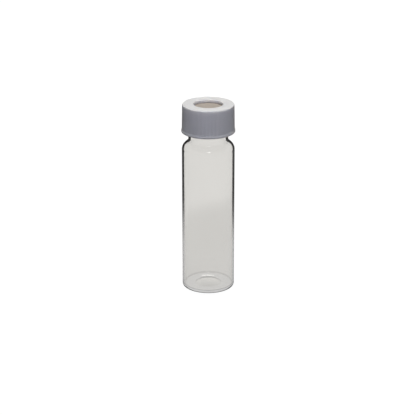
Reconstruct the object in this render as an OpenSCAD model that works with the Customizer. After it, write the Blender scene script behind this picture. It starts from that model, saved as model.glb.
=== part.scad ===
// Screw-neck glass sample vial with an open-top cap and a septum.
// Origin: centre of the base, on the plane it stands on. +Z up. Millimetres.

/* [Glass body] */
// Outside diameter of the tube
body_od = 27.25; // [22.5:0.05:36]
// Height of the glass, base to rim
glass_h = 95; // [60:1:140]
// Wall of the straight tube
wall = 1.0; // [0.7:0.05:1.6]
// Glass over the standing ring
base_t = 1.5; // [0.9:0.1:3]
// Outside radius of the heel
heel_r = 1.2; // [0.6:0.1:3]
// Radius where the floor meets the wall inside
floor_r = 0.5; // [0.3:0.1:3]
// Rise of the pushed-up middle of the base
pushup_rise = 0.7; // [0.2:0.1:1.4]
// Diameter of the pushed-up middle
pushup_d = 14; // [8:0.5:16]

/* [Shoulder] */
// Radius where the tube turns into the shoulder
shoulder_r = 4.2; // [2:0.1:6]
// Radius where the shoulder turns into the neck
neck_fillet_r = 2.1; // [0.8:0.1:4]
// Radius where the shoulder turns into the bore, inside
bore_blend_r = 2.6; // [1:0.1:4]
// Slope of the shoulder, from upright
shoulder_slope = 48; // [30:1:70]
// Height of the plain neck between the finish and the shoulder
neck_h = 3.8; // [2.5:0.1:8]

/* [Neck finish] */
// Outside diameter at the root of the thread
finish_od = 21.4; // [19:0.05:26]
// Step in from the finish to the plain neck
undercut = 0.42; // [0.1:0.02:0.8]
// Wall of the neck
neck_wall = 1.2; // [1:0.02:2.4]
// Plain finish below the thread
finish_land = 1.9; // [1:0.1:3]
// Radius of the fire-polished rim
rim_r = 0.5; // [0.2:0.05:0.6]

/* [Thread] */
// Rise in one turn
pitch = 3.175; // [2.6:0.005:4]
// Height of the glass thread over its root
thread_h = 1.15; // [0.7:0.05:1.4]
// Width of the glass thread at its root
thread_w = 2.1; // [1.6:0.05:2.3]
// Turns of the glass thread
thread_turns = 1.25; // [0.8:0.05:1.5]
// Rim to the top of the glass thread
thread_start = 1.2; // [0.8:0.1:2.5]
// Width of the cap's thread at its root
cap_thread_w = 2.0; // [1.6:0.05:2.2]
// Turns of the cap's thread
cap_thread_turns = 1.3; // [0.8:0.05:1.35]
// Lean of every thread flank, from square to the axis
flank = 30; // [20:1:35]
// Radius on the corners of a thread's crest
crest_round = 0.25; // [0.1:0.05:0.35]
// Angle over which a thread fades into its wall
fade = 30; // [15:5:60]

/* [Septum] */
// How far the septum overhangs the rim
septum_overhang = 0.3; // [0.1:0.05:0.5]
// Thickness of the septum
septum_t = 3.2; // [1.5:0.1:4]
// Break of the septum's edges
septum_edge = 0.15; // [0.05:0.05:0.4]

/* [Cap] */
// Wall of the skirt round the thread
skirt_wall = 1.3; // [1:0.05:2]
// Plain skirt below the cap's thread
skirt_land = 1.1; // [0.8:0.1:3]
// Thickness of the top plate
plate_t = 1.8; // [1:0.1:2.4]
// Diameter of the needle port
port_d = 15; // [8:0.1:17]
// Break of the port's upper edge
port_edge = 0.25; // [0.1:0.05:0.5]
// Radius of the top edge
cap_edge_r = 0.7; // [0.3:0.05:1.2]
// Widening of the skirt from top to bead, each side
draft = 0.22; // [0:0.01:0.5]
// Height of the retaining lip that holds the septum up
lip_h = 0.7; // [0.4:0.1:1]
// Chamfer inside the mouth
mouth_lead = 0.45; // [0.2:0.05:0.8]

/* [Bead] */
// Height of the bead round the mouth
bead_h = 1.5; // [0.9:0.1:2.5]
// How far the bead stands out
bead_out = 0.28; // [0.1:0.02:0.6]
// Height of the slope from the skirt out to the bead
bead_flare = 0.5; // [0.2:0.1:0.8]
// Radius under the bead
bead_r = 0.4; // [0.1:0.05:0.5]

/* [Grip] */
// Number of ribs
rib_count = 120; // [60:4:144]
// Depth of the grooves between the ribs
rib_depth = 0.16; // [0.08:0.01:0.2]
// Share of the spacing that a rib's crest takes
rib_share = 0.25; // [0.15:0.05:0.5]

/* [Clearances] */
// Glass thread's crest to the skirt round it
crest_gap = 0.25; // [0.1:0.01:0.4]
// Cap thread's crest to the root of the glass thread
root_gap = 0.35; // [0.15:0.01:0.5]
// Between the flanks that bear when the cap is tight
flank_gap = 0.15; // [0.05:0.01:0.2]
// Septum to the pocket round it
septum_gap = 0.15; // [0.05:0.01:0.4]
// Retaining lip to the glass rim
rim_gap = 0.25; // [0.1:0.01:0.4]
// Retaining lip to the underside of the septum
lip_gap = 0.1; // [0.02:0.02:0.3]

/* [Hidden] */
$fn = 96;

// Steps in an arc of an outline, in a thread's corner and in one turn of a thread
arc_steps = 8;
corner_steps = 3;
turn_steps = 48;
// How far a thread reaches into the wall that carries it, and its share left at the very ends
embed = 0.45;
fade_floor = 0.06;
// How far a cutter runs past what it cuts
overcut = 0.1;

// Radii of the glass
body_r = body_od / 2;
pushup_r = pushup_d / 2;
root_r = finish_od / 2;
crest_r = root_r + thread_h;
neck_r = root_r - undercut;
bore_r = neck_r - neck_wall;

// Thread heights. The cap's thread hangs under the glass thread, its flank on that thread's flank.
thread_foot_z = glass_h - thread_start - thread_w / 2 - pitch * thread_turns;
flank_depth = thread_h + crest_gap;
bearing_drop = (thread_w + cap_thread_w) / 2 - flank_depth * tan(flank) + flank_gap;
cap_thread_z = thread_foot_z - bearing_drop;
cap_thread_h = flank_depth - root_gap;

// Heights of the glass, down from the rim
finish_z = thread_foot_z - thread_w / 2 - finish_land;
neck_foot_z = finish_z - undercut - neck_h;
shoulder_z = neck_foot_z - shoulder_rise(body_r - neck_r, shoulder_r + neck_fillet_r);

// Septum and cap, up and down from the rim
septum_r = root_r + septum_overhang;
septum_top = glass_h + septum_t;
cap_top = septum_top + plate_t;
cap_foot = cap_thread_z - cap_thread_w / 2 - skirt_land;
bead_top = cap_foot + bead_h;
skirt_in_r = crest_r + crest_gap;
skirt_top_r = skirt_in_r + skirt_wall;
skirt_foot_r = skirt_top_r + draft;
pocket_r = septum_r + septum_gap;
lip_r = root_r + rim_gap;
lip_top = glass_h - lip_gap;
port_r = port_d / 2;

// Points of an arc about [cx, cy], from angle a0 to a1.
function arc(cx, cy, r, a0, a1, n = arc_steps) =
    [for (i = [0:n]) let (a = a0 + (a1 - a0) * i / n) [cx + r * cos(a), cy + r * sin(a)]];

// Points of a shallow dome from the middle out to its edge, over a floor at height z.
function dome(edge_r, rise, z) =
    let (big_r = (edge_r * edge_r + rise * rise) / (2 * rise))
    [for (i = [0:arc_steps])
        let (x = edge_r * i / arc_steps)
        [x, z + sqrt(big_r * big_r - x * x) - (big_r - rise)]];

function reversed(list) = [for (i = [len(list) - 1:-1:0]) list[i]];

// Both radii of a shoulder shrink alike where the step between tube and neck is too low for them.
function shoulder_fit(step, radii) = min(1, 0.95 * step / (radii * (1 - cos(shoulder_slope))));

function shoulder_rise(step, radii) =
    let (
        fitted = radii * shoulder_fit(step, radii),
        run = (step - fitted * (1 - cos(shoulder_slope))) / sin(shoulder_slope)
    )
    fitted * sin(shoulder_slope) + run * cos(shoulder_slope);

// Outline of a shoulder from a wall of radius r_low at height z_low, up and in to a neck of radius r_high.
function shoulder(r_low, r_high, z_low, bend_low, bend_high) =
    let (
        step = r_low - r_high,
        k = shoulder_fit(step, bend_low + bend_high),
        z_high = z_low + shoulder_rise(step, bend_low + bend_high)
    )
    concat(
        arc(r_low - bend_low * k, z_low, bend_low * k, 0, shoulder_slope),
        arc(r_high + bend_high * k, z_high, bend_high * k, 180 + shoulder_slope, 180)
    );

// Section of a thread as [height over its root, place along the axis], round at the crest.
// It goes on into the wall by the embed depth along the same flanks.
function thread_section(h, w) =
    let (
        half_foot = w / 2 + embed * tan(flank),
        half_crest = w / 2 - h * tan(flank),
        c = min(crest_round, half_crest),
        cy = half_crest - c * (1 - sin(flank)) / cos(flank)
    )
    concat(
        [[-embed, -half_foot]],
        arc(h - c, -cy, c, -90 + flank, 0, corner_steps),
        arc(h - c, cy, c, 0, 90 - flank, corner_steps),
        [[-embed, half_foot]]
    );

// Share of the full section at a place along a thread, which fades at both ends.
function fade_share(a, length) =
    let (x = min(1, a / fade, (length - a) / fade))
    fade_floor + (1 - fade_floor) * sin(90 * x);

// Right-hand thread on a wall of radius wall_r, starting at height z.
// side is 1 where the thread stands outwards and -1 where it stands inwards.
module thread(wall_r, side, h, w, z, turns) {
    section = thread_section(h, w);
    m = len(section);
    length = 360 * turns;
    n = ceil(turn_steps * turns);
    points = [
        for (i = [0:n])
            let (a = length * i / n, k = fade_share(a, length))
            for (p = section)
                let (r = wall_r + side * ((p.x + embed) * k - embed))
                [r * cos(a), r * sin(a), z + p.y + pitch * a / 360]
    ];
    sides = [
        for (i = [0:n - 1], j = [0:m - 1])
            let (p = i * m + j, q = i * m + (j + 1) % m)
            each [[p, q, q + m], [p, q + m, p + m]]
    ];
    first_end = [for (j = [m - 1:-1:0]) j];
    last_end = [for (j = [0:m - 1]) n * m + j];
    faces = concat(sides, [first_end, last_end]);
    polyhedron(
        points = points,
        faces = side > 0 ? faces : [for (f = faces) reversed(f)],
        convexity = 6
    );
}

// Outside of the glass, from the middle of the base up to the rim.
function glass_outside() = concat(
    dome(pushup_r, pushup_rise, 0),
    arc(body_r - heel_r, heel_r, heel_r, -90, 0),
    shoulder(body_r, neck_r, shoulder_z, shoulder_r, neck_fillet_r),
    [[neck_r, finish_z - undercut], [root_r, finish_z]],
    arc(root_r - rim_r, glass_h - rim_r, rim_r, 0, 90)
);

// Inside of the glass, from the rim down to the middle of the floor.
function glass_inside() =
    let (in_r = body_r - wall)
    concat(
        arc(bore_r + rim_r, glass_h - rim_r, rim_r, 90, 180),
        reversed(shoulder(in_r, bore_r, shoulder_z, shoulder_r - wall, bore_blend_r)),
        arc(in_r - floor_r, base_t + floor_r, floor_r, 0, -90),
        reversed(dome(pushup_r, pushup_rise, base_t))
    );

module vial() {
    color([0.84, 0.85, 0.84, 0.4]) {
        rotate_extrude() polygon(concat(glass_outside(), glass_inside()));
        thread(root_r, 1, thread_h, thread_w, thread_foot_z, thread_turns);
    }
}

module septum() {
    r = septum_r;
    e = septum_edge;
    color([0.70, 0.62, 0.54])
        translate([0, 0, glass_h])
            rotate_extrude() polygon([
                [0, 0], [r - e, 0], [r, e], [r, septum_t - e], [r - e, septum_t], [0, septum_t]
            ]);
}

// Outside of the cap, from the mouth up over the top to the needle port.
function cap_outside() =
    let (out_r = skirt_foot_r + bead_out)
    concat(
        arc(out_r - bead_r, cap_foot + bead_r, bead_r, -90, 0),
        [[out_r, bead_top - bead_flare], [skirt_foot_r, bead_top]],
        arc(skirt_top_r - cap_edge_r, cap_top - cap_edge_r, cap_edge_r, 0, 90),
        [[port_r + port_edge, cap_top], [port_r, cap_top - port_edge]]
    );

// Inside of the cap, from the port down the septum's pocket and past the retaining lip to the mouth.
function cap_inside() = [
    [port_r, septum_top],
    [pocket_r, septum_top],
    [pocket_r, lip_top + pocket_r - lip_r],
    [lip_r, lip_top],
    [lip_r, lip_top - lip_h],
    [skirt_in_r, lip_top - lip_h - (skirt_in_r - lip_r)],
    [skirt_in_r, cap_foot + mouth_lead],
    [skirt_in_r + mouth_lead, cap_foot]
];

// Round-bottomed grooves down the side, which leave the ribs between them standing.
module grip_grooves() {
    spacing = 2 * PI * skirt_top_r / rib_count;
    half_w = spacing * (1 - rib_share) / 2;
    r = (half_w * half_w + rib_depth * rib_depth) / (2 * rib_depth);
    lean = atan2(draft, cap_top - cap_edge_r - bead_top);
    for (i = [0:rib_count - 1])
        rotate([0, 0, 360 * i / rib_count])
            translate([skirt_foot_r, 0, bead_top])
                rotate([0, -lean, 0])
                    translate([r - rib_depth, 0, -overcut])
                        cylinder(r = r, h = cap_top - bead_top + 2 * overcut, $fn = 16);
}

module cap() {
    color([0.72, 0.72, 0.77]) {
        difference() {
            rotate_extrude() polygon(concat(cap_outside(), cap_inside()));
            grip_grooves();
        }
        thread(skirt_in_r, -1, cap_thread_h, cap_thread_w, cap_thread_z, cap_thread_turns);
    }
}

vial();
septum();
cap();
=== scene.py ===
"""Looks, light and camera for a glass sample vial with a septum and an open-top screw cap.

Lengths are in metres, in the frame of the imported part: the base stands on z = 0 and the axis
of the vial is the Z axis. Sizes of the pieces are written in millimetres and scaled by MM.
"""

import logging
from dataclasses import dataclass
from enum import Enum
from math import atan2, cos, degrees, floor, hypot, pi, radians, sin, sqrt, tan, tau

import bmesh
import bpy
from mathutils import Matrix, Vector

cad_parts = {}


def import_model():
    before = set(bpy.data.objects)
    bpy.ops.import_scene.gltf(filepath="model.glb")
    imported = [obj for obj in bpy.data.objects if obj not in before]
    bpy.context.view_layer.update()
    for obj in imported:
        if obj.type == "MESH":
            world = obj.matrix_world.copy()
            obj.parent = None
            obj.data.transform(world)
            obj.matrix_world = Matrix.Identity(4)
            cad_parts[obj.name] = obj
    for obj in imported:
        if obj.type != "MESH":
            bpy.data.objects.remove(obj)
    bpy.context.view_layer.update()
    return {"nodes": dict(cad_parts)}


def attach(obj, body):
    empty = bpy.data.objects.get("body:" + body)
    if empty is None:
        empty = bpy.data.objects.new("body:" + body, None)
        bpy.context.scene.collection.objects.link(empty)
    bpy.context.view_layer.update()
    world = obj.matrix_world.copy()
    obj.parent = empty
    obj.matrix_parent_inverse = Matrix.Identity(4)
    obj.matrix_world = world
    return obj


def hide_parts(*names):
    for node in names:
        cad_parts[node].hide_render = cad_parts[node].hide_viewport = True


LOG = logging.getLogger("sample_vial")

MM = 0.001
# Vertices nearer than this are one vertex
WELD = 1e-7
# A vertex this near a wall lies on it
ON_WALL = WELD * 10
# How far from its ends a straight wall has the points that keep its shading straight
HOLD = 0.2 * MM
# Edges that fold by more than this are shaded as edges
SHARP_ANGLE = radians(32)
# Level about which noise varies
NOISE_MIDDLE = 0.5
# Blend of a Layer Weight node at which its Facing is 1 less the cosine of the angle
PLAIN_BLEND = 0.5

Triple = tuple[float, float, float]
Colour = Triple
Place = Triple
WHITE: Colour = (1, 1, 1)


class MixSocket(Enum):
    """Places of a colour Mix node's sockets, whose names repeat."""

    FACTOR = 0
    FIRST = 6
    SECOND = 7
    RESULT = 2


class Signal:
    """A number socket of a node, on which an arithmetic operator adds its Math node."""

    def __init__(self, bench: "NodeBench", socket: bpy.types.NodeSocket) -> None:
        """Wraps one socket.

        Args:
            bench: The bench that the socket's node stands on.
            socket: An output socket that carries a number.
        """
        self.bench = bench
        self.socket = socket

    def _combined(self, operation: str, first: object, second: object) -> "Signal":
        """Adds a Math node.

        Args:
            operation: The Math node's operation.
            first: Its first number or signal.
            second: Its second number or signal.

        Returns:
            The node's result.
        """
        node = self.bench.node("ShaderNodeMath", {"operation": operation}, {0: first, 1: second})
        return Signal(self.bench, node.outputs[0])

    def __add__(self, other: object) -> "Signal":
        """Sum of two signals."""
        return self._combined("ADD", self, other)

    def __radd__(self, other: object) -> "Signal":
        """Sum with a plain number first."""
        return self._combined("ADD", other, self)

    def __sub__(self, other: object) -> "Signal":
        """Difference of two signals."""
        return self._combined("SUBTRACT", self, other)

    def __rsub__(self, other: object) -> "Signal":
        """Difference with a plain number first."""
        return self._combined("SUBTRACT", other, self)

    def __mul__(self, other: object) -> "Signal":
        """Product of two signals."""
        return self._combined("MULTIPLY", self, other)

    def __rmul__(self, other: object) -> "Signal":
        """Product with a plain number first."""
        return self._combined("MULTIPLY", other, self)

    def larger(self, other: object) -> "Signal":
        """The larger of two signals."""
        return self._combined("MAXIMUM", self, other)

    def smaller(self, other: object) -> "Signal":
        """The smaller of two signals."""
        return self._combined("MINIMUM", self, other)


class NodeBench:
    """Builds one node tree."""

    def __init__(self, tree: bpy.types.NodeTree) -> None:
        """Clears the tree.

        Args:
            tree: The node tree of a material or a world.
        """
        self.tree = tree
        tree.nodes.clear()

    def node(
        self,
        kind: str,
        settings: dict[str, object] | None = None,
        sockets: dict[str | int, object] | None = None,
    ) -> bpy.types.Node:
        """Adds one node.

        Args:
            kind: The node's type.
            settings: Its properties, set first.
            sockets: Values, signals or sockets for its inputs, by name or place.

        Returns:
            The new node.
        """
        made = self.tree.nodes.new(kind)
        for name, value in (settings or {}).items():
            setattr(made, name, value)
        for name, value in (sockets or {}).items():
            self._feed(made.inputs[name], value)
        return made

    def signal(self, node: bpy.types.Node, output: str | int = 0) -> Signal:
        """One output of a node, ready for arithmetic."""
        return Signal(self, node.outputs[output])

    def blend(self, share: object, first: object, second: object) -> bpy.types.NodeSocket:
        """Mixes two colours.

        Args:
            share: How much of the second colour, as a number or a signal.
            first: Colour or socket.
            second: Colour or socket.

        Returns:
            The mixed colour's socket.
        """
        mix = self.node(
            "ShaderNodeMix",
            {"data_type": "RGBA"},
            {
                MixSocket.FACTOR.value: share,
                MixSocket.FIRST.value: first,
                MixSocket.SECOND.value: second,
            },
        )
        return mix.outputs[MixSocket.RESULT.value]

    def ramp(self, value: object, low: float, high: float) -> Signal:
        """Share from 0 to 1, eased at both ends, as a value goes from low to high.

        Args:
            value: The signal to read.
            low: Value that gives 0.
            high: Value that gives 1.

        Returns:
            The share as a signal.
        """
        node = self.node(
            "ShaderNodeMapRange",
            {"interpolation_type": "SMOOTHSTEP"},
            {"Value": value, "From Min": low, "From Max": high},
        )
        return self.signal(node)

    def noise(self, place: bpy.types.NodeSocket, scale: float, detail: float = 2.0) -> Signal:
        """Smooth noise from 0 to 1.

        Args:
            place: Where the pattern is read.
            scale: Features in each metre.
            detail: Octaves of finer noise.

        Returns:
            The noise as a signal.
        """
        node = self.node(
            "ShaderNodeTexNoise", {}, {"Vector": place, "Scale": scale, "Detail": detail}
        )
        return self.signal(node, "Fac")

    def bump(self, relief: Signal, depth: float, strength: float = 1.0) -> bpy.types.NodeSocket:
        """Adds a Bump node.

        Args:
            relief: The height of the surface, from 0 to 1.
            depth: The height that 1 stands for.
            strength: How much of the bump shows.

        Returns:
            The bent normal's socket.
        """
        node = self.node(
            "ShaderNodeBump", {}, {"Strength": strength, "Distance": depth, "Height": relief}
        )
        return node.outputs[0]

    def object_place(self, stretch: Triple = (1, 1, 1)) -> bpy.types.NodeSocket:
        """Object coordinates, with each axis multiplied by its stretch."""
        place = self.node("ShaderNodeTexCoord").outputs["Object"]
        return self.node("ShaderNodeMapping", {}, {"Vector": place, "Scale": stretch}).outputs[0]

    def height(self) -> Signal:
        """Height on the piece, from its Object coordinates."""
        place = self.node("ShaderNodeTexCoord").outputs["Object"]
        return self.signal(self.node("ShaderNodeSeparateXYZ", {}, {0: place}), "Z")

    def _feed(self, socket: bpy.types.NodeSocket, value: object) -> None:
        """Links a signal or a socket to an input, or writes a value on it.

        Args:
            socket: The input.
            value: A signal, a socket, a number, a colour or a vector.
        """
        if isinstance(value, Signal):
            value = value.socket
        if isinstance(value, bpy.types.NodeSocket):
            self.tree.links.new(value, socket)
        elif socket.type == "RGBA":
            socket.default_value = (*value, 1)
        else:
            socket.default_value = value


class Skin(Enum):
    """Parts of the glass's surface, in the order of their material slots.

    OUTER is the outside. INNER is the inside with its floor, and the underside. CORNER is the round
    between the floor and the inside of the wall.
    """

    OUTER = "outer"
    INNER = "inner"
    CORNER = "corner"


@dataclass(frozen=True)
class ClearGlass:
    """Drawn borosilicate tube: clear over the middle, dark where it is seen edge on.

    The dark is a painted reflection: a matt dark shader that stands in for the dark
    surroundings that the wall's edge would show. A line of sight that stays within the wall, and
    so meets the inner skin past the angle of total reflection, ends in it. The heel has some of
    the painted dark too, and the corner of the floor is glass tinted darker as painted shade.
    """

    name: str = "clear_glass"
    ior: float = 1.47
    body: Colour = (0.990, 0.982, 0.962)
    # Painted reflection: matt dark that stands in for dark surroundings seen in the wall's edge
    edge: Colour = (0.030, 0.025, 0.020)
    # Light that passes on into the shadow
    shadow: Colour = (0.90, 0.90, 0.90)
    # Painted shade: the floor's corner is tinted darker, in place of the dark that it would show
    corner: Colour = (0.80, 0.79, 0.775)
    # Facing, seen from within the wall, over which total reflection at the inner skin sets in
    trap_from: float = 0.255
    trap_to: float = 0.267
    # Facing over which the outer skin, seen very much aslant, comes to show the painted dark too
    slant_from: float = 0.74
    slant_to: float = 0.88
    painted_dark_share: float = 0.97
    # From the upper height down to the lower one, the painted dark fades to a share of its strength
    fade_low: float = 22 * MM
    fade_high: float = 54 * MM
    fade_share: float = 0.05
    # The heel's painted dark grows from the upper height down to the lower one, where it is
    # seen aslant
    heel_low: float = 0.9 * MM
    heel_high: float = 1.8 * MM
    heel_from: float = 0.34
    heel_to: float = 0.60
    heel_share: float = 0.95
    # Drawing lines run along the tube: many across a metre, few along it
    line_stretch: Triple = (1, 1, 0.05)
    line_scale: float = 420
    line_depth: float = 0.0022 * MM

    def material(self, skin: Skin) -> bpy.types.Material:
        """Makes the glass of one skin.

        Args:
            skin: The part of the surface that it is for.

        Returns:
            The finished material.
        """
        made = bpy.data.materials.new(f"{self.name}_{skin.value}")
        made.use_nodes = True
        bench = NodeBench(made.node_tree)
        lines = bench.noise(bench.object_place(self.line_stretch), self.line_scale)
        glass = bench.node(
            "ShaderNodeBsdfPrincipled",
            {},
            {
                "Base Color": self.corner if skin is Skin.CORNER else self.body,
                "Roughness": 0.0,
                "IOR": self.ior,
                "Transmission Weight": 1.0,
                "Normal": bench.bump(lines, self.line_depth),
            },
        )
        seen = glass if skin is Skin.CORNER else self._with_painted_dark(bench, glass, skin)
        clear = bench.node("ShaderNodeBsdfTransparent", {}, {"Color": self.shadow})
        shading = bench.node("ShaderNodeLightPath").outputs["Is Shadow Ray"]
        both = bench.node(
            "ShaderNodeMixShader", {}, {0: shading, 1: seen.outputs[0], 2: clear.outputs[0]}
        )
        bench.node("ShaderNodeOutputMaterial", {}, {"Surface": both.outputs[0]})
        return made

    def _with_painted_dark(self, bench: NodeBench, glass: bpy.types.Node, skin: Skin) -> bpy.types.Node:
        """Mixes the painted dark reflection into the glass where the wall is seen edge on.

        Args:
            bench: The bench that the glass stands on.
            glass: The clear glass shader.
            skin: The outer or the inner skin.

        Returns:
            The mixed shader.
        """
        weight = bench.node("ShaderNodeLayerWeight", {}, {"Blend": PLAIN_BLEND})
        facing = bench.signal(weight, "Facing")
        height = bench.height()
        fade = self.fade_share + (1 - self.fade_share) * bench.ramp(
            height, self.fade_low, self.fade_high
        )
        if skin is Skin.INNER:
            within = bench.signal(bench.node("ShaderNodeNewGeometry"), "Backfacing")
            dark = bench.ramp(facing, self.trap_from, self.trap_to) * within
            share = dark * fade * self.painted_dark_share
        else:
            wall = bench.ramp(facing, self.slant_from, self.slant_to) * fade * self.painted_dark_share
            low = 1 - bench.ramp(height, self.heel_low, self.heel_high)
            heel = bench.ramp(facing, self.heel_from, self.heel_to) * low * self.heel_share
            share = wall.larger(heel)
        # Painted reflection: a matt dark surface in place of the dark surroundings
        dark_reflection = bench.node("ShaderNodeBsdfDiffuse", {}, {"Color": self.edge})
        return bench.node(
            "ShaderNodeMixShader", {}, {0: share, 1: glass.outputs[0], 2: dark_reflection.outputs[0]}
        )


@dataclass(frozen=True)
class MouldedPlastic:
    """Satin moulded polypropylene with faint flow marks and a fine spark-eroded skin."""

    name: str = "moulded_white_plastic"
    ior: float = 1.49
    pale: Colour = (0.755, 0.756, 0.773)
    deep: Colour = (0.722, 0.725, 0.746)
    roughness: float = 0.42
    roughness_spread: float = 0.10
    gloss: float = 0.25
    # Light spreads a little way through the plastic
    glow_share: float = 0.92
    glow_radius: Triple = (2.6 * MM, 2.5 * MM, 2.4 * MM)
    # Flow marks are drawn out along the axis, and change colour between two levels of the noise
    flow_stretch: Triple = (1, 1, 0.4)
    flow_scale: float = 90
    flow_from: float = 0.35
    flow_to: float = 0.65
    skin_scale: float = 5200
    skin_detail: float = 1.0
    skin_depth: float = 0.006 * MM
    skin_strength: float = 0.5

    def material(self) -> bpy.types.Material:
        """Makes the plastic.

        Returns:
            The finished material.
        """
        made = bpy.data.materials.new(self.name)
        made.use_nodes = True
        bench = NodeBench(made.node_tree)
        flow = bench.noise(bench.object_place(self.flow_stretch), self.flow_scale)
        marks = bench.ramp(flow, self.flow_from, self.flow_to)
        skin = bench.noise(bench.object_place(), self.skin_scale, self.skin_detail)
        bump = bench.bump(skin, self.skin_depth, self.skin_strength)
        plastic = bench.node(
            "ShaderNodeBsdfPrincipled",
            {},
            {
                "Base Color": bench.blend(marks, self.deep, self.pale),
                "Roughness": self.roughness + self.roughness_spread * (flow - NOISE_MIDDLE),
                "IOR": self.ior,
                "Specular IOR Level": self.gloss,
                "Subsurface Weight": self.glow_share,
                "Subsurface Radius": self.glow_radius,
                "Subsurface Scale": 1.0,
                "Normal": bump,
            },
        )
        bench.node("ShaderNodeOutputMaterial", {}, {"Surface": plastic.outputs[0]})
        return made


@dataclass(frozen=True)
class SeptumRubber:
    """Matt silicone with a fine mottle."""

    name: str = "septum_silicone"
    ior: float = 1.41
    pale: Colour = (0.430, 0.384, 0.345)
    deep: Colour = (0.380, 0.334, 0.299)
    roughness: float = 0.62
    roughness_spread: float = 0.12
    # The mottle changes colour between two levels of the noise
    mottle_scale: float = 1400
    mottle_detail: float = 3.0
    mottle_from: float = 0.3
    mottle_to: float = 0.7
    mottle_depth: float = 0.01 * MM
    mottle_strength: float = 0.4

    def material(self) -> bpy.types.Material:
        """Makes the rubber.

        Returns:
            The finished material.
        """
        made = bpy.data.materials.new(self.name)
        made.use_nodes = True
        bench = NodeBench(made.node_tree)
        mottle = bench.noise(bench.object_place(), self.mottle_scale, self.mottle_detail)
        share = bench.ramp(mottle, self.mottle_from, self.mottle_to)
        bump = bench.bump(mottle, self.mottle_depth, self.mottle_strength)
        rubber = bench.node(
            "ShaderNodeBsdfPrincipled",
            {},
            {
                "Base Color": bench.blend(share, self.deep, self.pale),
                "Roughness": self.roughness + self.roughness_spread * (mottle - NOISE_MIDDLE),
                "IOR": self.ior,
                "Normal": bump,
            },
        )
        bench.node("ShaderNodeOutputMaterial", {}, {"Surface": rubber.outputs[0]})
        return made


class Outline:
    """Half section of a turned piece, drawn point by point in the XZ plane."""

    def __init__(self, radius: float, height: float) -> None:
        """Starts the outline.

        Args:
            radius: Distance of the first point from the axis.
            height: Height of the first point.
        """
        self.mesh = bmesh.new()
        self.first = self.mesh.verts.new((radius, 0, height))
        self.tip = self.first

    def line(self, radius: float, height: float, steps: int = 1) -> "Outline":
        """Draws a straight line from the tip.

        Args:
            radius: Distance of its end from the axis.
            height: Height of its end.
            steps: Equal pieces that it is drawn in.

        Returns:
            The outline itself.
        """
        return self._draw(radius, height, [(step + 1) / steps for step in range(steps)])

    def straight(self, radius: float, height: float) -> "Outline":
        """Draws a line from the tip, with a point near both ends so that its wall shades straight.

        Args:
            radius: Distance of its end from the axis.
            height: Height of its end.

        Returns:
            The outline itself.
        """
        hold = HOLD / (Vector((radius, 0, height)) - self.tip.co).length
        return self._draw(radius, height, [hold, 1 - hold, 1])

    def _draw(self, radius: float, height: float, shares: list[float]) -> "Outline":
        """Draws a line from the tip through points at shares of its length.

        Args:
            radius: Distance of its end from the axis.
            height: Height of its end.
            shares: Where its points are, from above 0 up to 1.

        Returns:
            The outline itself.
        """
        start, end = self.tip.co.copy(), Vector((radius, 0, height))
        for share in shares:
            self.tip = bmesh.ops.extrude_vert_indiv(self.mesh, verts=[self.tip])["verts"][0]
            self.tip.co = start.lerp(end, share)
        return self

    def arc(self, radius: float, height: float, turn: float, steps: int) -> "Outline":
        """Draws an arc from the tip.

        Args:
            radius: Distance of the arc's centre from the axis.
            height: Height of the arc's centre.
            turn: Degrees, positive from outwards to upwards.
            steps: Pieces that it is drawn in.

        Returns:
            The outline itself.
        """
        made = bmesh.ops.spin(
            self.mesh,
            geom=[self.tip],
            cent=(radius, 0, height),
            axis=(0, -1, 0),
            dvec=(0, 0, 0),
            angle=radians(turn),
            steps=steps,
            use_merge=False,
            use_duplicate=False,
        )
        self.tip = next(v for v in made["geom_last"] if isinstance(v, bmesh.types.BMVert))
        return self

    def close(self) -> "Outline":
        """Joins the tip to the first point."""
        self.mesh.edges.new((self.tip, self.first))
        return self

    def turned(self, sectors: int, segments: int) -> bmesh.types.BMesh:
        """Turns the outline once round the axis: one sector first, then its copies.

        Args:
            sectors: Equal sectors in the full turn.
            segments: Segments in one sector.

        Returns:
            The closed mesh, with its faces pointing out of the material.
        """
        share = tau / sectors
        self._spin(self.mesh.verts[:] + self.mesh.edges[:], share, segments, copy=False)
        whole = self.mesh.verts[:] + self.mesh.edges[:] + self.mesh.faces[:]
        self._spin(whole, tau - share, sectors - 1, copy=True)
        bmesh.ops.remove_doubles(self.mesh, verts=self.mesh.verts, dist=WELD)
        bmesh.ops.recalc_face_normals(self.mesh, faces=self.mesh.faces)
        return self.mesh

    def _spin(self, geometry: list, angle: float, steps: int, copy: bool) -> None:
        """Sweeps or copies geometry about the Z axis.

        Args:
            geometry: Vertices, edges and faces of the mesh.
            angle: The whole turn, in radians.
            steps: Equal parts that it is made in.
            copy: Whether each step leaves a copy, instead of a swept face.
        """
        bmesh.ops.spin(
            self.mesh,
            geom=geometry,
            cent=(0, 0, 0),
            axis=(0, 0, 1),
            dvec=(0, 0, 0),
            angle=angle,
            steps=steps,
            use_merge=False,
            use_duplicate=copy,
        )


def finished_piece(name: str, mesh: bmesh.types.BMesh) -> bpy.types.Object:
    """Turns a bmesh into a smooth-shaded object at the origin.

    Args:
        name: Name of the piece.
        mesh: Its shape, which is freed.

    Returns:
        The new object.
    """
    for face in mesh.faces:
        face.smooth = True
    for edge in mesh.edges:
        edge.smooth = edge.calc_face_angle(0) < SHARP_ANGLE
    data = bpy.data.meshes.new(name)
    mesh.to_mesh(data)
    mesh.free()
    made = bpy.data.objects.new(name, data)
    bpy.context.scene.collection.objects.link(made)
    return made


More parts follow.
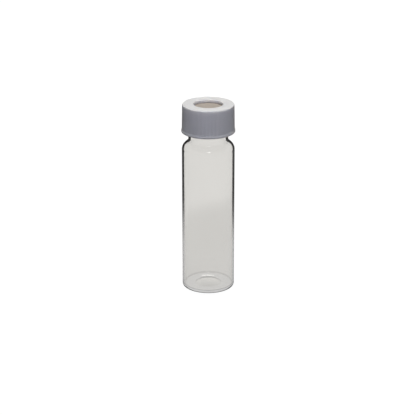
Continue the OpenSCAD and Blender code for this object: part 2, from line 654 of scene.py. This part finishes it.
@dataclass(frozen=True)
class ScrewThread:
    """Right-hand thread that fades into its wall at both ends."""

    height: float
    width: float
    # Height of its middle where it starts
    foot: float
    turns: float
    pitch: float = 3.175 * MM
    flank: float = radians(30)
    crest_round: float = 0.25 * MM
    # Turn that each end takes to fade, depth that the section reaches into the wall, and the
    # share of the section that is left at the very end
    fade: float = radians(30)
    embed: float = 0.45 * MM
    fade_floor: float = 0.06

    def rise(self, angle: float, place: float) -> float:
        """How far the thread stands out of its wall.

        Args:
            angle: Angle about the axis, in radians.
            place: Height on the wall.

        Returns:
            The rise, 0 beside the thread.
        """
        length = tau * self.turns
        best = 0.0
        for turn in range(int(self.turns) + 1):
            along = angle % tau + tau * turn
            if along <= length:
                offset = abs(place - self.foot - self.pitch * along / tau)
                best = max(best, self._faded(self._section(offset), along, length))
        return best

    def _section(self, offset: float) -> float:
        """The full section, round at the crest.

        Args:
            offset: Distance from its middle, along the wall.

        Returns:
            Its rise, below 0 beside the thread.
        """
        flank_rise = (self.width / 2 - offset) / tan(self.flank)
        gap = flank_rise - self.height
        return self.height + (gap - sqrt(gap * gap + self.crest_round**2 / 4)) / 2

    def _faded(self, rise: float, along: float, length: float) -> float:
        """The section's rise after the fade at the thread's ends.

        Args:
            rise: The full section's rise.
            along: Angle from the thread's start.
            length: Angle from its start to its end.

        Returns:
            The faded rise.
        """
        reach = min(1.0, along / self.fade, (length - along) / self.fade)
        share = self.fade_floor + (1 - self.fade_floor) * sin(pi / 2 * reach)
        return (rise + self.embed) * share - self.embed


@dataclass
class GlassBody:
    """The vial in one piece of glass: base, heel, tube, shoulder, neck and threaded finish."""

    body_r: float = 13.625 * MM
    rim_z: float = 95 * MM
    wall: float = 1.0 * MM
    base: float = 1.5 * MM
    heel_r: float = 1.2 * MM
    floor_r: float = 0.5 * MM
    pushup: float = 0.7 * MM
    pushup_r: float = 7 * MM
    shoulder_r: float = 4.2 * MM
    neck_fillet: float = 2.1 * MM
    bore_blend: float = 2.6 * MM
    # Degrees by which the middle of the shoulder leans in from upright
    slope: float = 48
    shoulder_z: float = 75.7945 * MM
    neck_r: float = 10.28 * MM
    bore_r: float = 9.08 * MM
    root_r: float = 10.7 * MM
    finish_z: float = 85.8312 * MM
    # How far the finish stands out of the neck, on a slope of 45 degrees
    undercut: float = 0.42 * MM
    rim_r: float = 0.5 * MM
    thread: ScrewThread = ScrewThread(
        height=1.15 * MM, width=2.1 * MM, foot=88.7813 * MM, turns=1.25
    )
    sectors: int = 16
    segments: int = 12
    arc_steps: int = 14
    thread_steps: int = 56
    # A face whose normal points down by more than this belongs to the underside
    underside_normal: float = -0.95

    def build(self, finish: ClearGlass) -> bpy.types.Object:
        """Makes and dresses the vial.

        Args:
            finish: Its glass.

        Returns:
            The finished piece.
        """
        outline = Outline(0, self.pushup)
        self._dome(outline, outwards=True, height=0)
        outline.straight(self.body_r - self.heel_r, 0)
        outline.arc(self.body_r - self.heel_r, self.heel_r, 90, self.arc_steps)
        outline.straight(self.body_r, self.shoulder_z)
        self._shoulder_up(outline)
        outline.straight(self.neck_r, self.finish_z - self.undercut)
        outline.line(self.root_r, self.finish_z)
        outline.line(self.root_r, self.rim_z - self.rim_r, self.thread_steps)
        outline.arc(self.root_r - self.rim_r, self.rim_z - self.rim_r, 90, self.arc_steps // 2)
        outline.line(self.bore_r + self.rim_r, self.rim_z)
        outline.arc(self.bore_r + self.rim_r, self.rim_z - self.rim_r, 90, self.arc_steps // 2)
        self._shoulder_down(outline)
        inner_r = self.body_r - self.wall
        outline.straight(inner_r, self.base + self.floor_r)
        outline.arc(inner_r - self.floor_r, self.base + self.floor_r, -90, self.arc_steps)
        outline.straight(self.pushup_r, self.base)
        self._dome(outline, outwards=False, height=self.base)
        mesh = outline.turned(self.sectors, self.segments)
        self._mark_skins(mesh)
        self._raise_thread(mesh)
        piece = finished_piece("vial_glass_body", mesh)
        for skin in Skin:
            piece.data.materials.append(finish.material(skin))
        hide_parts("vial")
        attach(piece, "vial")
        return piece

    def _dome(self, outline: Outline, outwards: bool, height: float) -> None:
        """Draws the pushed-up middle of the base from the axis to its edge, or back.

        Args:
            outline: The outline to go on with.
            outwards: Whether it goes from the axis to the edge.
            height: Height of the edge.
        """
        big_r = (self.pushup_r**2 + self.pushup**2) / (2 * self.pushup)
        centre_z = height + self.pushup - big_r
        turn = degrees(atan2(self.pushup_r, height - centre_z))
        outline.arc(0, centre_z, -turn if outwards else turn, self.arc_steps)

    def _shoulder_up(self, outline: Outline) -> None:
        """Draws the outer shoulder from the tube up to the neck.

        Args:
            outline: The outline to go on with.
        """
        low, high = self.shoulder_r, self.neck_fillet
        neck_z = self._neck_foot(self.body_r, self.neck_r, low, high)
        outline.arc(self.body_r - low, self.shoulder_z, self.slope, self.arc_steps)
        across, along = cos(radians(self.slope)), sin(radians(self.slope))
        outline.straight(self.neck_r + high * (1 - across), neck_z - high * along)
        outline.arc(self.neck_r + high, neck_z, -self.slope, self.arc_steps)

    def _shoulder_down(self, outline: Outline) -> None:
        """Draws the bore, and the inner shoulder down to the inside of the tube.

        Args:
            outline: The outline to go on with.
        """
        low, high = self.shoulder_r - self.wall, self.bore_blend
        inner_r = self.body_r - self.wall
        neck_z = self._neck_foot(inner_r, self.bore_r, low, high)
        outline.straight(self.bore_r, neck_z)
        outline.arc(self.bore_r + high, neck_z, self.slope, self.arc_steps)
        across, along = cos(radians(self.slope)), sin(radians(self.slope))
        outline.straight(inner_r - low * (1 - across), self.shoulder_z + low * along)
        outline.arc(inner_r - low, self.shoulder_z, -self.slope, self.arc_steps)

    def _neck_foot(self, wide: float, narrow: float, low: float, high: float) -> float:
        """Height at which a shoulder of two bends and a slope reaches the neck.

        Args:
            wide: Radius of the tube.
            narrow: Radius of the neck.
            low: Radius of the bend at the tube.
            high: Radius of the bend at the neck.

        Returns:
            The height.
        """
        slope = radians(self.slope)
        run = (wide - narrow - (low + high) * (1 - cos(slope))) / sin(slope)
        return self.shoulder_z + (low + high) * sin(slope) + run * cos(slope)

    def _mark_skins(self, mesh: bmesh.types.BMesh) -> None:
        """Gives each face the material slot of its skin.

        Args:
            mesh: The turned body, before its thread is raised.
        """
        skins = list(Skin)
        corner_top = self.base + self.floor_r
        floor_edge = self.body_r - self.wall - self.floor_r
        for face in mesh.faces:
            middle = face.calc_center_median()
            looks_in = face.normal.xy.dot(middle.xy) < 0 and middle.z > self.base
            on_floor = face.normal.z > 0 and middle.z < corner_top + self.pushup
            under = face.normal.z < self.underside_normal and middle.z < self.base
            in_corner = middle.xy.length > floor_edge and looks_in and middle.z < corner_top
            inner = Skin.CORNER if in_corner else Skin.INNER
            skin = inner if looks_in or on_floor or under else Skin.OUTER
            face.material_index = skins.index(skin)

    def _raise_thread(self, mesh: bmesh.types.BMesh) -> None:
        """Moves the finish's outer wall out where the thread is.

        Args:
            mesh: The turned body.
        """
        for vert in mesh.verts:
            radius = hypot(vert.co.x, vert.co.y)
            if abs(radius - self.root_r) < ON_WALL and vert.co.z > self.finish_z:
                rise = self.thread.rise(atan2(vert.co.y, vert.co.x), vert.co.z)
                vert.co.xy *= (radius + rise) / radius


@dataclass
class OpenTopCap:
    """The screw cap: ribbed skirt, mouth bead, inner thread, retaining lip and pierced top."""

    foot_z: float = 85.2895 * MM
    top_z: float = 100.0 * MM
    septum_top: float = 98.2 * MM
    port_r: float = 7.5 * MM
    port_edge: float = 0.25 * MM
    # Undercut at the foot of the port's wall
    port_relief: float = 0.35 * MM
    pocket_r: float = 11.15 * MM
    lip_r: float = 10.95 * MM
    lip_top: float = 94.9 * MM
    lip_h: float = 0.7 * MM
    skirt_in_r: float = 12.1 * MM
    skirt_top_r: float = 13.4 * MM
    skirt_foot_r: float = 13.62 * MM
    edge_r: float = 0.7 * MM
    bead_h: float = 1.5 * MM
    bead_out: float = 0.28 * MM
    bead_flare: float = 0.5 * MM
    bead_r: float = 0.4 * MM
    mouth_lead: float = 0.45 * MM
    thread: ScrewThread = ScrewThread(
        height=1.05 * MM, width=2.0 * MM, foot=87.3895 * MM, turns=1.3
    )
    ribs: int = 120
    rib_depth: float = 0.16 * MM
    # Share of the spacing that is rib and not groove
    rib_share: float = 0.25
    rib_segments: int = 6
    arc_steps: int = 8
    thread_steps: int = 44

    def build(self, finish: MouldedPlastic) -> bpy.types.Object:
        """Makes and dresses the cap.

        Args:
            finish: Its plastic.

        Returns:
            The finished piece.
        """
        bead_top = self.foot_z + self.bead_h
        out_r = self.skirt_foot_r + self.bead_out
        edge_z = self.top_z - self.edge_r
        outline = Outline(self.skirt_in_r + self.mouth_lead, self.foot_z)
        outline.line(out_r - self.bead_r, self.foot_z)
        outline.arc(out_r - self.bead_r, self.foot_z + self.bead_r, 90, self.arc_steps)
        outline.line(out_r, bead_top - self.bead_flare)
        outline.line(self.skirt_foot_r, bead_top)
        outline.straight(self.skirt_top_r, edge_z)
        outline.arc(self.skirt_top_r - self.edge_r, edge_z, 90, self.arc_steps)
        outline.straight(self.port_r + self.port_edge, self.top_z)
        outline.arc(self.port_r + self.port_edge, self.top_z - self.port_edge, 90, self.arc_steps)
        outline.straight(self.port_r, self.septum_top + self.port_relief)
        outline.line(self.port_r + self.port_relief, self.septum_top)
        outline.line(self.pocket_r, self.septum_top)
        outline.line(self.pocket_r, self.lip_top + self.pocket_r - self.lip_r)
        outline.line(self.lip_r, self.lip_top)
        outline.line(self.lip_r, self.lip_top - self.lip_h)
        outline.line(self.skirt_in_r, self.lip_top - self.lip_h - self.skirt_in_r + self.lip_r)
        outline.line(self.skirt_in_r, self.foot_z + self.mouth_lead, self.thread_steps)
        mesh = outline.close().turned(self.ribs, self.rib_segments)
        self._cut_grooves(mesh, bead_top)
        self._raise_thread(mesh)
        piece = finished_piece("cap_shell", mesh)
        piece.data.materials.append(finish.material())
        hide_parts("cap")
        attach(piece, "cap")
        return piece

    def _cut_grooves(self, mesh: bmesh.types.BMesh, bead_top: float) -> None:
        """Moves the side in between the ribs, from the bead up over the top edge.

        Args:
            mesh: The turned cap.
            bead_top: Height of the bead's upper end.
        """
        lean = (self.skirt_foot_r - self.skirt_top_r) / (self.top_z - self.edge_r - bead_top)
        for vert in mesh.verts:
            radius = hypot(vert.co.x, vert.co.y)
            if radius > self.skirt_top_r - self.edge_r and vert.co.z > bead_top - WELD:
                wall_r = self.skirt_foot_r - lean * (vert.co.z - bead_top)
                groove_r = wall_r - self._groove(atan2(vert.co.y, vert.co.x))
                vert.co.xy *= min(radius, groove_r) / radius

    def _groove(self, angle: float) -> float:
        """Depth of the round-bottomed grooves.

        Args:
            angle: Angle about the axis, in radians.

        Returns:
            The depth, 0 on a rib.
        """
        spacing = tau * self.skirt_top_r / self.ribs
        half = spacing * (1 - self.rib_share) / 2
        round_r = (half * half + self.rib_depth**2) / (2 * self.rib_depth)
        turn = angle / tau * self.ribs
        offset = (turn - floor(turn + 0.5)) * spacing
        if abs(offset) >= half:
            return 0.0
        return sqrt(round_r * round_r - offset * offset) - (round_r - self.rib_depth)

    def _raise_thread(self, mesh: bmesh.types.BMesh) -> None:
        """Moves the skirt's inner wall in where the thread is.

        Args:
            mesh: The turned cap.
        """
        for vert in mesh.verts:
            radius = hypot(vert.co.x, vert.co.y)
            if abs(radius - self.skirt_in_r) < ON_WALL:
                rise = self.thread.rise(atan2(vert.co.y, vert.co.x), vert.co.z)
                vert.co.xy *= (radius - rise) / radius


@dataclass
class Septum:
    """The soft disc under the needle port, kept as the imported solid."""

    node: str = "septum"

    def dress(self, finish: SeptumRubber) -> bpy.types.Object:
        """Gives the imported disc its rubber.

        Args:
            finish: Its rubber.

        Returns:
            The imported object.
        """
        disc = bpy.data.objects.get(self.node)
        disc.data.materials.clear()
        disc.data.materials.append(finish.material())
        return disc


@dataclass(frozen=True)
class Lamp:
    """An area light that faces the foot of the vial."""

    name: str
    place: Place
    power: float
    width: float
    # A lamp without a height is square
    height: float | None = None
    colour: Colour = WHITE
    # Whether gloss and glass show the lamp itself
    mirrored: bool = True

    def hang(self) -> None:
        """Adds the light to the scene."""
        data = bpy.data.lights.new(self.name, "AREA")
        data.shape, data.size, data.energy = "SQUARE", self.width, self.power
        data.color = self.colour
        if self.height is not None:
            data.shape, data.size_y = "RECTANGLE", self.height
        lamp = bpy.data.objects.new(self.name, data)
        lamp.location = self.place
        lamp.rotation_mode = "QUATERNION"
        lamp.rotation_quaternion = (-Vector(self.place)).to_track_quat("-Z", "Y")
        lamp.visible_glossy = lamp.visible_transmission = self.mirrored
        bpy.context.scene.collection.objects.link(lamp)


@dataclass
class Studio:
    """White paper and a white surround, three lamps above, one low behind, and the camera."""

    floor_r: float = 4.0
    floor_sides: int = 96
    floor_colour: Colour = (0.15, 0.15, 0.155)
    # The floor's own light, which makes it read as white paper, grows with the distance from
    # near_place: for bent rays from near_r to far_r, and for the eye from far_r to horizon_r
    near_place: Place = (0.05, 0, 0)
    near_r: float = 0.113
    far_r: float = 0.146
    horizon_r: float = 0.60
    seen_near: float = 0.90
    seen_far: float = 1.0
    through_near: float = 0.508
    through_far: float = 0.600
    # What bent rays see of the surround: about level, in a band above, and over the top
    around_level: float = 0.5
    around_band: float = 0.82
    around_top: float = 0.35
    # Upward parts of a ray's direction over which each gives way to the next
    band_from: float = 0.10
    band_to: float = 0.20
    top_from: float = 0.50
    top_to: float = 0.70
    # Share of what glass shows of floor and surround that gloss shows
    gloss_share: float = 0.13
    # The surround's light on the object
    ambient: float = 0.02
    lamps: tuple[Lamp, ...] = (
        Lamp(
            "key_light",
            place=(0.03, 0.10, 1.05),
            power=7.95,
            width=0.60,
            colour=(1.0, 0.980, 0.880),
            mirrored=False,
        ),
        Lamp(
            "fill_light",
            place=(0.04, -0.86, 1.00),
            power=5.65,
            width=0.6,
            colour=(0.82, 0.83, 1.0),
            mirrored=False,
        ),
        # The spark shows in the glass as small bright spots, and the vial's floor mirrors the
        # light behind
        Lamp("spark_light", place=(0.015, -0.74, 0.86), power=0.9, width=0.27),
        Lamp("back_light", place=(0.0, 1.0, 0.4290), power=0.00078, width=0.042, height=0.0032),
    )
    camera_place: Place = (-0.0004, -0.7192, 0.3140)
    camera_pitch: float = 20.62
    camera_lens: float = 127.17
    camera_sensor: float = 36.0

    def build(self) -> None:
        """Sets up floor, world, lights and camera."""
        bpy.context.scene.view_settings.view_transform = "Standard"
        self._floor()
        self._world()
        for lamp in self.lamps:
            lamp.hang()
        self._camera()

    def _floor(self) -> None:
        """Makes the round floor, which is not part of the object."""
        mesh = bmesh.new()
        bmesh.ops.create_circle(
            mesh, cap_ends=True, segments=self.floor_sides, radius=self.floor_r
        )
        piece = finished_piece("floor", mesh)
        made = bpy.data.materials.new("pale_floor")
        made.use_nodes = True
        bench = NodeBench(made.node_tree)
        place = bench.node("ShaderNodeTexCoord").outputs["Object"]
        distance = bench.node(
            "ShaderNodeVectorMath", {"operation": "DISTANCE"}, {0: place, 1: self.near_place}
        )
        reach = bench.signal(distance, "Value")
        seen, through = self._sight(bench)
        near = self.through_near + (self.through_far - self.through_near) * bench.ramp(
            reach, self.near_r, self.far_r
        )
        far = self.seen_near + (self.seen_far - self.seen_near) * bench.ramp(
            reach, self.far_r, self.horizon_r
        )
        paper = bench.node("ShaderNodeBsdfDiffuse", {}, {"Color": self.floor_colour})
        glow = bench.node("ShaderNodeEmission", {}, {"Strength": seen * far + through * near})
        both = bench.node("ShaderNodeAddShader", {}, {0: paper.outputs[0], 1: glow.outputs[0]})
        bench.node("ShaderNodeOutputMaterial", {}, {"Surface": both.outputs[0]})
        piece.data.materials.append(made)

    def _world(self) -> None:
        """Makes a white surround that lights the object only weakly."""
        world = bpy.data.worlds.new("studio")
        world.use_nodes = True
        bpy.context.scene.world = world
        bench = NodeBench(world.node_tree)
        seen, through = self._sight(bench)
        way = bench.node("ShaderNodeTexCoord").outputs["Generated"]
        up = bench.signal(bench.node("ShaderNodeSeparateXYZ", {}, {0: way}), "Z")
        rising = bench.ramp(up, self.band_from, self.band_to)
        falling = 1 - bench.ramp(up, self.top_from, self.top_to)
        level = self.around_level * (1 - rising)
        around = level + self.around_band * rising * falling + self.around_top * (1 - falling)
        white = seen.larger(through * around)
        sky = bench.node(
            "ShaderNodeBackground", {}, {"Color": WHITE, "Strength": white.larger(self.ambient)}
        )
        bench.node("ShaderNodeOutputWorld", {}, {"Surface": sky.outputs[0]})

    def _sight(self, bench: NodeBench) -> tuple[Signal, Signal]:
        """Tells rays of sight from rays that only carry light.

        Args:
            bench: The bench to add the nodes to.

        Returns:
            1 for a ray straight from the camera, and the strength of what a bent ray sees: 1
            through glass, a share in gloss, and 0 for a ray that lights a matt surface.
        """
        paths = bench.node("ShaderNodeLightPath")
        bent = bench.signal(paths, "Is Transmission Ray").larger(
            bench.signal(paths, "Is Glossy Ray") * self.gloss_share
        )
        lighting = bench.signal(paths, "Diffuse Depth").smaller(1)
        return bench.signal(paths, "Is Camera Ray"), bent * (1 - lighting)

    def _camera(self) -> None:
        """Adds the camera, in front of the vial and looking down a little."""
        data = bpy.data.cameras.new("camera")
        data.lens, data.sensor_width = self.camera_lens, self.camera_sensor
        camera = bpy.data.objects.new("camera", data)
        camera.location = self.camera_place
        camera.rotation_euler = (radians(90 - self.camera_pitch), 0, 0)
        bpy.context.scene.collection.objects.link(camera)
        bpy.context.scene.camera = camera


def main() -> None:
    """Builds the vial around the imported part."""
    logging.basicConfig(level=logging.INFO, format="%(name)s: %(message)s")
    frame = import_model()
    LOG.info("packed nodes: %s", ", ".join(sorted(frame["nodes"])))
    for piece in (
        GlassBody().build(ClearGlass()),
        Septum().dress(SeptumRubber()),
        OpenTopCap().build(MouldedPlastic()),
    ):
        LOG.info("%s: %d faces", piece.name, len(piece.data.polygons))
    Studio().build()


if __name__ == "__main__":
    main()
